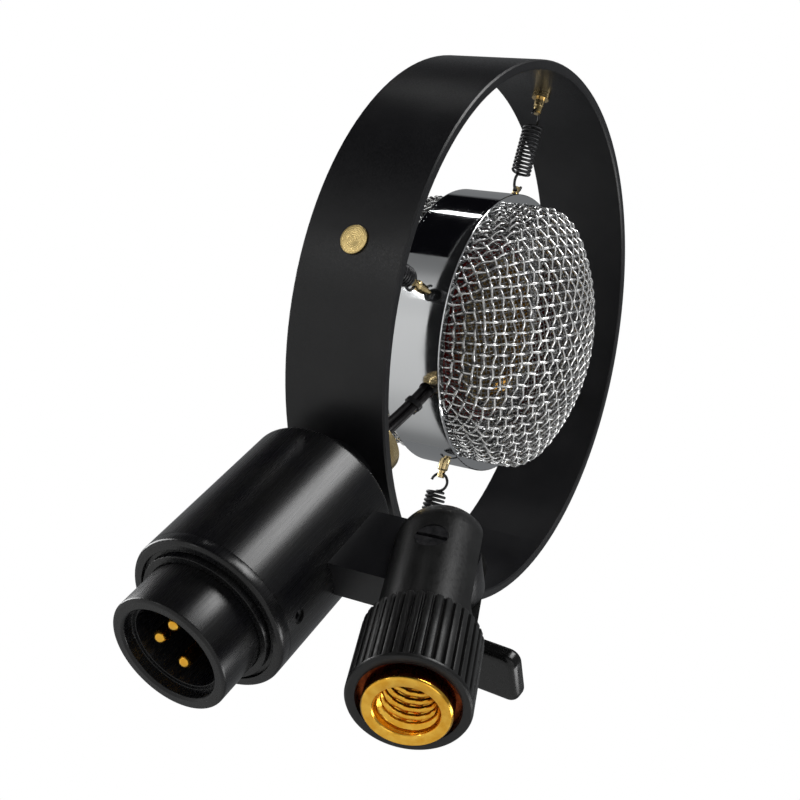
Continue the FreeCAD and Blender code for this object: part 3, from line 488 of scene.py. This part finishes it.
LOOKS = {
    "black_anodised": black_anodised(),
    "black_barrel": black_barrel(),
    "black_swivel": black_swivel(),
    "black_lever": black_lever(),
    "black_plastic": black_plastic(),
    "black_rubber": black_rubber(),
    "dark_steel": dark_steel(),
    "spring_wire": spring_wire(),
    "brass_turned": turned_brass(),
    "gold_plate": gold_plate(),
    "gold_film": gold_film(),
    "mirror_chrome": mirror_chrome(),
    "grille_wire": grille_wire(),
    "fine_mesh_wire": fine_mesh_wire(),
    "red_plastic": red_plastic(),
    "green_board": green_board(),
    "can_sleeve": can_sleeve(),
    "film_case": film_case(),
}


def dress_cad_nodes():
    """Gives every carried-over CAD node the look of its material slot."""
    for part in frame["record"]["subparts"]:
        node = frame["nodes"][part["node"]]
        look = LOOKS[part["material_slot"]]
        for material_slot in node.material_slots:
            material_slot.material = look


EDGE_ROUNDS = {
    "pivot_tongue": 0.22,
    "pivot_screw": 0.14,
    "clamp_lever": 0.1,
    "barrel_end_cap": 0.12,
    "connector_shell": 0.12,
}


def round_edges():
    """Breaks the sharp edges of the handled parts, so that they catch a line of light."""
    for name, width in EDGE_ROUNDS.items():
        node = frame["nodes"][name]
        weld = node.modifiers.new("joined_faces", "WELD")
        weld.merge_threshold = 0.002 * MM
        edges = node.modifiers.new("broken_edges", "BEVEL")
        edges.width = width * MM
        edges.segments = 2
        edges.limit_method = "ANGLE"
        edges.angle_limit = math.radians(35)
        edges.use_clamp_overlap = True
        edges.harden_normals = True


# Woven grilles -------------------------------------------------------------------------------


class Dome:
    """A pan-shaped dome drawn from a flat sheet: crowned face, rounded shoulder, side wall."""

    def __init__(self, side, inset):
        self.side = side
        self.crown = 47.0 * MM - inset
        self.wall = 28.0 * MM - inset
        self.shoulder = 3.0 * MM
        apex = 23.2 * MM - inset
        self.foot = BAND_HALF_WIDTH + 0.45 * MM
        across = self.wall - self.shoulder
        self.crown_middle = apex - self.crown
        self.shoulder_height = self.crown_middle + math.sqrt(
            (self.crown - self.shoulder) ** 2 - across**2
        )
        self.crown_turn = math.asin(across / (self.crown - self.shoulder))
        self.crown_length = self.crown * self.crown_turn
        self.shoulder_length = self.shoulder * (math.pi / 2 - self.crown_turn)
        self.reach = self.crown_length + self.shoulder_length + self.shoulder_height - self.foot

    def section(self, length):
        """Radius, height and outward turn of the wall, that far along from the apex."""
        if length < self.crown_length:
            turn = length / self.crown
            height = self.crown_middle + self.crown * math.cos(turn)
            return self.crown * math.sin(turn), height, turn
        length -= self.crown_length
        if length < self.shoulder_length:
            turn = self.crown_turn + length / self.shoulder
            radius = self.wall - self.shoulder + self.shoulder * math.sin(turn)
            return radius, self.shoulder_height + self.shoulder * math.cos(turn), turn
        length -= self.shoulder_length
        return self.wall, self.shoulder_height - length, math.pi / 2

    def point(self, across, up, lift):
        """Where a point of the flat sheet lies on the dome, lifted off it by a small height."""
        length = math.hypot(across, up)
        radius, height, turn = self.section(length)
        radius += lift * math.sin(turn)
        height += lift * math.cos(turn)
        share = radius / length if length > 0 else 1.0
        return Vector((across * share, self.side * height, up * share))


def woven(dome, weave):
    """Plain-woven wires on a dome: each wire passes over and under its neighbours in turn.

    The wires lie just under the dome's surface, and wander a little from their even spacing.
    """
    pitch, radius = weave["pitch"], weave["radius"]
    parts = []
    count = int(dome.reach / pitch)
    lean = Matrix.Rotation(math.radians(weave["turn"]), 2)
    sunk = 1.1
    wander_size = 9 * MM
    other_draw = Vector((7, 3, 1))
    for family in (0, 1):
        for number in range(-count, count + 1):
            fixed = number * pitch
            half = math.sqrt(dome.reach**2 - fixed**2)
            marks = max(int(half / pitch * weave["steps"]), 2)
            path = []
            for mark in range(-marks, marks + 1):
                run = half * mark / marks
                sign = (-1) ** (number + family)
                wave = sign * math.cos(math.pi * run / pitch)
                lift = weave["crimp"] * (wave - sunk) - radius
                flat = Vector((fixed, run)) if family == 0 else Vector((run, fixed))
                seed = Vector((flat.x, flat.y, family * 0.5)) / wander_size
                drift = Vector((noise.noise(seed), noise.noise(seed + other_draw)))
                flat += weave["wander"] * drift
                if flat.length > dome.reach:
                    flat *= dome.reach / flat.length
                flat = lean @ flat
                path.append(dome.point(flat.x, flat.y, lift))
            parts.append(along_path(path, radius, weave["sides"]))
    return merged(parts)


WEAVES = {
    "grille": {
        "inset": 0.0,
        "pitch": 2.35 * MM,
        "radius": 0.27 * MM,
        "crimp": 0.36 * MM,
        "turn": -22,
        "wander": 0.5 * MM,
        "steps": 5,
        "sides": 6,
        "look": "grille_wire",
    },
    "fine_mesh": {
        "inset": 1.5 * MM,
        "pitch": 1.0 * MM,
        "radius": 0.16 * MM,
        "crimp": 0.16 * MM,
        "turn": -12,
        "wander": 0.2 * MM,
        "steps": 2,
        "sides": 4,
        "look": "fine_mesh_wire",
    },
}


def grilles():
    """The coarse and the fine woven dome on both faces of the capsule head."""
    for face, side in (("front", -1), ("rear", 1)):
        for layer, weave in WEAVES.items():
            node = f"{face}_{layer}"
            points, faces = woven(Dome(side, weave["inset"]), weave)
            piece = new_piece(node + "_weave", points, faces, IN_RING, LOOKS[weave["look"]])
            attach(piece, "capsule_head")
            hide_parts(node)


# Suspension ----------------------------------------------------------------------------------

SPRING = {
    "wire": 0.31 * MM,
    "coil": 1.95 * MM,
    "hook": 1.9 * MM,
    "hook_from": 12,
    "hook_to": 262,
    "turns": 13,
    "marks_per_turn": 18,
    "sides": 8,
    "inner_eye": 32.35 * MM,
    "outer_eye": 51.45 * MM,
}


def hook_path(base, outward, across):
    """A wire hook: an arc that leaves its base sideways and comes round to the eye."""
    centre = base + outward * SPRING["hook"]
    start, end = SPRING["hook_from"], SPRING["hook_to"]
    steps = 22
    path = []
    for step in range(steps + 1):
        turn = math.radians(start + (end - start) * step / steps)
        path.append(
            centre
            - outward * (SPRING["hook"] * math.cos(turn))
            + across * (SPRING["hook"] * math.sin(turn))
        )
    return path


def spring_path():
    """The spring's wire about its own Z, from the hook on the capsule to that on the ring."""
    up = Vector((0, 0, 1))
    across = Vector((1, 0, 0))
    low = SPRING["inner_eye"] + 2 * SPRING["hook"]
    high = SPRING["outer_eye"] - 2 * SPRING["hook"]
    marks = SPRING["turns"] * SPRING["marks_per_turn"]
    closing_marks = 7
    coil = []
    for mark in range(marks + 1):
        turn = 2 * math.pi * SPRING["turns"] * mark / marks + math.pi / 2
        share = min(mark, marks - mark) / closing_marks
        radius = SPRING["coil"] * math.sin(min(share, 1.0) * math.pi / 2)
        height = low + (high - low) * mark / marks
        coil.append(Vector((radius * math.cos(turn), radius * math.sin(turn), height)))
    inner = hook_path(up * low, -up, -across)
    outer = hook_path(up * high, up, across)
    return list(reversed(inner)) + coil + outer


def springs():
    """Four wound springs, each stretched between the capsule head and the ring."""
    path = spring_path()
    points, faces = along_path(path, SPRING["wire"], SPRING["sides"])
    for place, angle in SPRING_ANGLES.items():
        twist = math.radians(SPRING_TWISTS.get(place, 0))
        at = out_along(angle) @ Matrix.Rotation(twist, 4, "Z")
        node = "spring_" + place
        piece = new_piece(node + "_wound", points, faces, at, LOOKS["spring_wire"])
        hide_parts(node)
        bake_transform(piece)


def anchor_heads():
    """The four brass anchor screws, faced off flat on the outside of the ring."""
    head = 2.75 * MM
    rise = 0.6 * MM
    shank = 0.9 * MM
    foot = RING_RADIUS - 6.5 * MM
    pinhole = 0.02 * MM
    profile = [
        (pinhole, foot),
        (shank, foot),
        (shank, RING_RADIUS),
        (head - 0.05 * MM, RING_RADIUS),
        (head, RING_RADIUS + 0.08 * MM),
        (head, RING_RADIUS + rise - 0.2 * MM),
        (head - 0.2 * MM, RING_RADIUS + rise - 0.02 * MM),
        (head - 0.45 * MM, RING_RADIUS + rise),
        (head * 0.5, RING_RADIUS + rise - 0.02 * MM),
        (pinhole, RING_RADIUS + rise - 0.04 * MM),
    ]
    points, faces = lathe(profile, 64)
    look = faced_brass()
    for place, angle in SPRING_ANGLES.items():
        name = "anchor_screw_" + place
        piece = sharpen(new_piece(name, points, faces, out_along(angle), look))
        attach(piece, "microphone_body")
        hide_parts("anchor_screws")


# Signal lead ---------------------------------------------------------------------------------

LEAD_ROUTE = [
    Vector((-3.1, -3.6, -26.6)) * MM,
    Vector((-3.0, -3.7, -31.0)) * MM,
    Vector((-1.8, -2.5, -34.4)) * MM,
    Vector((-0.5, -0.9, -39.8)) * MM,
    Vector((0, 0, -46.5)) * MM,
    Vector((0, 0, -70.5)) * MM,
]
STRAND = 0.74 * MM
STRANDS_BESIDE = Vector((0.35, -0.94, 0)).normalized()


def smooth_route(points):
    """Points read along a smooth curve through the route's corners."""
    curve = bpy.data.curves.new("lead_route", "CURVE")
    curve.dimensions = "3D"
    spline = curve.splines.new("NURBS")
    spline.points.add(len(points) - 1)
    for control, point in zip(spline.points, points):
        control.co = (*point, 1)
    spline.order_u = 3
    spline.use_endpoint_u = True
    curve.resolution_u = 12
    carrier = bpy.data.objects.new("lead_route", curve)
    mesh = bpy.data.meshes.new_from_object(carrier)
    path = [vertex.co.copy() for vertex in mesh.vertices]
    bpy.data.objects.remove(carrier)
    bpy.data.meshes.remove(mesh)
    return path


def signal_lead():
    """Two parallel strands, side by side, from the capsule head to the circuit board."""
    route = smooth_route(LEAD_ROUTE)
    parts = []
    for side in (-1, 1):
        offset = STRANDS_BESIDE * (STRAND * side)
        parts.append(along_path([point + offset for point in route], STRAND, 16))
    points, faces = merged(parts)
    piece = new_piece("signal_lead_strands", points, faces, IN_RING, LOOKS["black_rubber"])
    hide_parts("signal_lead")
    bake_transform(piece)


def oval_strap(centre, along, beside, across, straight, round_radius, half_width, half_gauge):
    """Points and faces of a flat strap drawn tight round two strands."""
    steps = 40
    points, faces = [], []
    for step in range(steps):
        turn = 2 * math.pi * step / steps
        push = straight if math.cos(turn) > 0 else -straight
        spot = beside * (push + round_radius * math.cos(turn))
        spot += across * (round_radius * math.sin(turn))
        outward = spot.normalized() * half_gauge
        for wide, thick in ((-1, -1), (1, -1), (1, 1), (-1, 1)):
            points.append(centre + spot + along * (half_width * wide) + outward * thick)
        following = (step + 1) % steps
        for side in range(4):
            beyond = (side + 1) % 4
            faces.append(
                (
                    step * 4 + side,
                    step * 4 + beyond,
                    following * 4 + beyond,
                    following * 4 + side,
                )
            )
    return points, faces


def small_box(centre, axes, halves):
    """Points and faces of a box with half its size given along each of three axes."""
    points = []
    for corner in range(8):
        signs = [1 if corner & bit else -1 for bit in (1, 2, 4)]
        offset = Vector((0, 0, 0))
        for axis, half, sign in zip(axes, halves, signs):
            offset += axis * (half * sign)
        points.append(centre + offset)
    faces = [(0, 2, 3, 1), (4, 5, 7, 6), (0, 1, 5, 4), (2, 6, 7, 3), (0, 4, 6, 2), (1, 3, 7, 5)]
    return points, faces


def cable_tie():
    """The tie's strap drawn round both strands, and its head beside them."""
    along = (LEAD_ROUTE[3] - LEAD_ROUTE[2]).normalized()
    centre = LEAD_ROUTE[2] - along * 0.9 * MM
    beside = (STRANDS_BESIDE - along * STRANDS_BESIDE.dot(along)).normalized()
    across = along.cross(beside)
    depth = STRAND + 0.22 * MM
    half_width, half_gauge = 0.6 * MM, 0.17 * MM
    head_offset = depth + 0.55 * MM
    head_halves = (1.0 * MM, 0.95 * MM, 0.65 * MM)
    strap = oval_strap(centre, along, beside, across, STRAND, depth, half_width, half_gauge)
    head = small_box(centre - across * head_offset, (beside, along, across), head_halves)
    points, faces = merged([strap, head])
    piece = new_piece("cable_tie_strap", points, faces, IN_RING, LOOKS["black_plastic"])
    rounding = piece.modifiers.new("edges", "BEVEL")
    rounding.width = 0.12 * MM
    rounding.segments = 2
    sharpen(piece, 40)
    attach(piece, "microphone_body")
    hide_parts("cable_tie")


# Swivel --------------------------------------------------------------------------------------

# The collar's and the adapter's points are placed in the CAD's frame directly: their boxes would
# reach past the CAD's if the pieces were tilted instead.
COLLAR = {
    "radius": 9.69 * MM,
    "neck": 6.05 * MM,
    "bore": 7.98 * MM,
    "top": -15.25 * MM,
    "foot": -29.8 * MM,
    "web": 2.3 * MM,
    "ribs": 38,
    "groove": 0.62 * MM,
    "plain": 0.7 * MM,
}
RIB_SECTION = [(-0.5, 0.04), (-0.3, 0.0), (-0.2, 0.1), (-0.07, 0.92), (0.0, 1.0)]
RIB_SECTION += [(-place, depth) for place, depth in reversed(RIB_SECTION[1:-1])]


def collar_rows():
    """Radius, height and depth of groove of the rows round the collar's section."""
    radius, top, foot = COLLAR["radius"], COLLAR["top"], COLLAR["foot"]
    rim = foot + COLLAR["plain"]
    return [
        (COLLAR["neck"], top, 0),
        (radius - 0.9 * MM, top, 0),
        (radius - 0.5 * MM, top, 0.35),
        (radius - 0.12 * MM, top - 0.15 * MM, 0.85),
        (radius, top - 0.5 * MM, 1),
        (radius, (top + rim) / 2, 1),
        (radius, rim + 0.5 * MM, 1),
        (radius, rim + 0.22 * MM, 0.8),
        (radius, rim, 0),
        (radius, foot + 0.45 * MM, 0),
        (radius - 0.14 * MM, foot + 0.16 * MM, 0),
        (radius - 0.4 * MM, foot, 0),
        (COLLAR["bore"] + 0.5 * MM, foot, 0),
        (COLLAR["bore"] + 0.1 * MM, foot + 0.15 * MM, 0),
        (COLLAR["bore"], foot + 0.5 * MM, 0),
        (COLLAR["bore"], top - COLLAR["web"], 0),
        (COLLAR["neck"], top - COLLAR["web"], 0),
    ]


def knurled_collar():
    """The collar with its straight ribs, which end at a plain rim."""
    rows = collar_rows()
    per_rib = len(RIB_SECTION)
    columns = COLLAR["ribs"] * per_rib

    def at(row, column):
        """A point on one row of the section, at one corner of a rib."""
        radius, height, share = rows[row]
        place, depth = RIB_SECTION[column % per_rib]
        turn = 2 * math.pi * (column // per_rib + place) / COLLAR["ribs"]
        radius -= COLLAR["groove"] * share * depth
        return Vector((radius * math.cos(turn), radius * math.sin(turn), height))

    points, faces = turned(columns, len(rows), at)
    faces = [tuple(reversed(face)) for face in faces]
    look = LOOKS["black_swivel"]
    points = [IN_SWIVEL @ point for point in points]
    piece = sharpen(new_piece("collar_ribbed", points, faces, Matrix(), look), 28)
    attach(piece, "stand_side")
    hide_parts("knurled_collar")


THREAD = {
    "pitch": 25.4 / 16 * MM,
    "minor": 4.2 * MM,
    "major": 4.9 * MM,
    "steps": 14,
    "flat": 0.3,
    "flank": 0.62,
}


def thread_depth(turn, height):
    """How far the thread's groove is cut at one place, from 0 to 1."""
    phase = (height / THREAD["pitch"] - turn / (2 * math.pi)) % 1.0
    slope = abs(phase - 0.5) * 2
    return min(max((slope - THREAD["flat"]) / THREAD["flank"], 0.0), 1.0)


def thread_adapter():
    """The gold bush, with the stand's thread cut in its bore."""
    face, top = -31.5 * MM, -20.6 * MM
    outer, lip, mouth = 7.93 * MM, 6.95 * MM, 5.3 * MM
    lead_in = 0.45 * MM
    columns = 120
    # The rows of the bush's outside and its lip take the gold painted dark, as painted shade and a
    # painted reflection of the collar.
    painted_shade_rows = slice(columns, 4 * columns)
    inner_rows = int((top - face - lead_in) / THREAD["pitch"] * THREAD["steps"])
    outside = [
        (THREAD["major"], top),
        (outer, top),
        (outer, face + 3.2 * MM),
        (lip, face + 3.1 * MM),
        (lip, face + 0.5 * MM),
        (lip - 0.08 * MM, face + 0.2 * MM),
        (lip - 0.3 * MM, face),
        (mouth, face),
        (mouth - 0.1 * MM, face + 0.05 * MM),
        (THREAD["major"], face + 0.44 * MM),
    ]

    def at(row, column):
        """A point on the outside, or on the thread that winds up the bore."""
        turn = 2 * math.pi * column / columns
        if row < len(outside):
            radius, height = outside[row]
        else:
            share = (row - len(outside)) / inner_rows
            height = face + lead_in + (top - face - lead_in) * share
            start = min(share * inner_rows / THREAD["steps"], 1.0)
            crest = (THREAD["major"] - THREAD["minor"]) * (1 - thread_depth(turn, height))
            radius = THREAD["major"] - start * crest
        return Vector((radius * math.cos(turn), radius * math.sin(turn), height))

    points, faces = turned(columns, len(outside) + inner_rows, at)
    faces = [tuple(reversed(corners)) for corners in faces]
    look = LOOKS["gold_plate"]
    points = [IN_SWIVEL @ point for point in points]
    piece = sharpen(new_piece("adapter_threaded", points, faces, Matrix(), look), 40)
    # A second material: gold painted dark brown for the bush's side, as painted shade and a
    # painted dark reflection.
    piece.data.materials.append(painted_shade_gold())
    for facet in piece.data.polygons[painted_shade_rows]:
        facet.material_index = 1
    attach(piece, "stand_side")
    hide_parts("thread_adapter")


# Stage ---------------------------------------------------------------------------------------

CAMERA_AT = Vector((-0.13814, -0.08416, -0.11174))
CAMERA_LOOK = Vector((0.52056, 0.48382, 0.70351))
CAMERA_UP = Vector((-0.84396, 0.16670, 0.50984))
FOCAL_LENGTH = 59.137
FLOOR_BELOW_CAMERA = 0.09
DARK_SIDE = Vector((-0.81, 0.48, 0.31))
LIGHTS = {
    "key_softbox": {"at": (-0.5, -0.3, 0.55), "size": (0.3, 0.3), "power": 3.4},
    "side_strip": {"at": (0.45, -0.55, 0.1), "size": (0.18, 0.6), "power": 2.2},
    "low_fill": {"at": (-0.25, -0.6, -0.25), "size": (0.5, 0.4), "power": 0.8},
    "small_lamp": {"at": (-0.36, 0.29, 0.45), "size": (0.03, 0.03), "power": 0.03},
    "low_lamp": {"at": (-0.3, 0.21, -0.12), "size": (0.04, 0.04), "power": 0.04},
    "back_strip": {"at": (-0.1, 0.75, 0.2), "size": (0.5, 0.25), "power": 3.0},
}


def camera():
    """The camera, low in front on the left, looking up at the microphone."""
    lens = bpy.data.cameras.new("camera")
    lens.lens = FOCAL_LENGTH
    lens.sensor_width = 36
    lens.clip_start = 0.01
    carrier = bpy.data.objects.new("camera", lens)
    back = -CAMERA_LOOK.normalized()
    right = CAMERA_UP.cross(back).normalized()
    up = back.cross(right)
    turned_to = Matrix((right, up, back)).transposed()
    carrier.matrix_world = Matrix.Translation(CAMERA_AT) @ turned_to.to_4x4()
    bpy.context.scene.collection.objects.link(carrier)
    bpy.context.scene.camera = carrier


def lights():
    """Softboxes aimed at the middle of the microphone."""
    target = (CAD_BOX[0] + CAD_BOX[1]) / 2
    for name, facts in LIGHTS.items():
        lamp = bpy.data.lights.new(name, "AREA")
        lamp.shape = "RECTANGLE"
        lamp.size, lamp.size_y = facts["size"]
        lamp.energy = facts["power"]
        carrier = bpy.data.objects.new(name, lamp)
        carrier.location = facts["at"]
        toward = target - carrier.location
        carrier.rotation_euler = toward.to_track_quat("-Z", "Y").to_euler()
        bpy.context.scene.collection.objects.link(carrier)


def world():
    """White to the eye. In the reflections, a pale room that is dark on one side."""
    room = bpy.data.worlds.new("studio")
    room.use_nodes = True
    tree = room.node_tree
    light = tree.nodes["Background"]
    white = tree.nodes.new("ShaderNodeBackground")
    white.inputs["Color"].default_value = (1, 1, 1, 1)
    white.inputs["Strength"].default_value = 1.0
    toward = tree.nodes.new("ShaderNodeTexCoord")
    facing = tree.nodes.new("ShaderNodeVectorMath")
    facing.operation = "DOT_PRODUCT"
    facing.inputs[1].default_value = DARK_SIDE.normalized()
    tree.links.new(toward.outputs["Generated"], facing.inputs[0])
    ramp = tree.nodes.new("ShaderNodeValToRGB")
    ramp.color_ramp.elements[0].position = 0.6
    ramp.color_ramp.elements[0].color = (0.2, 0.205, 0.21, 1)
    ramp.color_ramp.elements[1].position = 0.66
    ramp.color_ramp.elements[1].color = (0.003, 0.003, 0.004, 1)
    tree.links.new(facing.outputs["Value"], ramp.inputs["Fac"])
    tree.links.new(ramp.outputs["Color"], light.inputs["Color"])
    seen = tree.nodes.new("ShaderNodeLightPath")
    mix = tree.nodes.new("ShaderNodeMixShader")
    tree.links.new(seen.outputs["Is Camera Ray"], mix.inputs["Fac"])
    tree.links.new(light.outputs["Background"], mix.inputs[1])
    tree.links.new(white.outputs["Background"], mix.inputs[2])
    tree.links.new(mix.outputs["Shader"], tree.nodes["World Output"].inputs["Surface"])
    bpy.context.scene.world = room
    bpy.context.scene.view_settings.view_transform = "Standard"


def floor():
    """A plain pale floor, well below the camera."""
    height = CAMERA_AT.z - FLOOR_BELOW_CAMERA
    reach = 8.0
    corners = [(-reach, -reach), (reach, -reach), (reach, reach), (-reach, reach)]
    look = Shader("floor_look", (0.8, 0.8, 0.79), 0.0, 0.7)
    look.rough(look.grain(20 * MM), 0.62, 0.78)
    look.surface.inputs["Emission Color"].default_value = (1, 1, 1, 1)
    look.surface.inputs["Emission Strength"].default_value = 0.08
    points = [Vector((x, y, height)) for x, y in corners]
    piece = new_piece("floor", points, [(0, 1, 2, 3)], Matrix(), look.material)


# Making --------------------------------------------------------------------------------------

camera()
lights()
world()
floor()
dress_cad_nodes()
round_edges()
grilles()
springs()
anchor_heads()
signal_lead()
cable_tie()
knurled_collar()
thread_adapter()

bpy.context.view_layer.update()
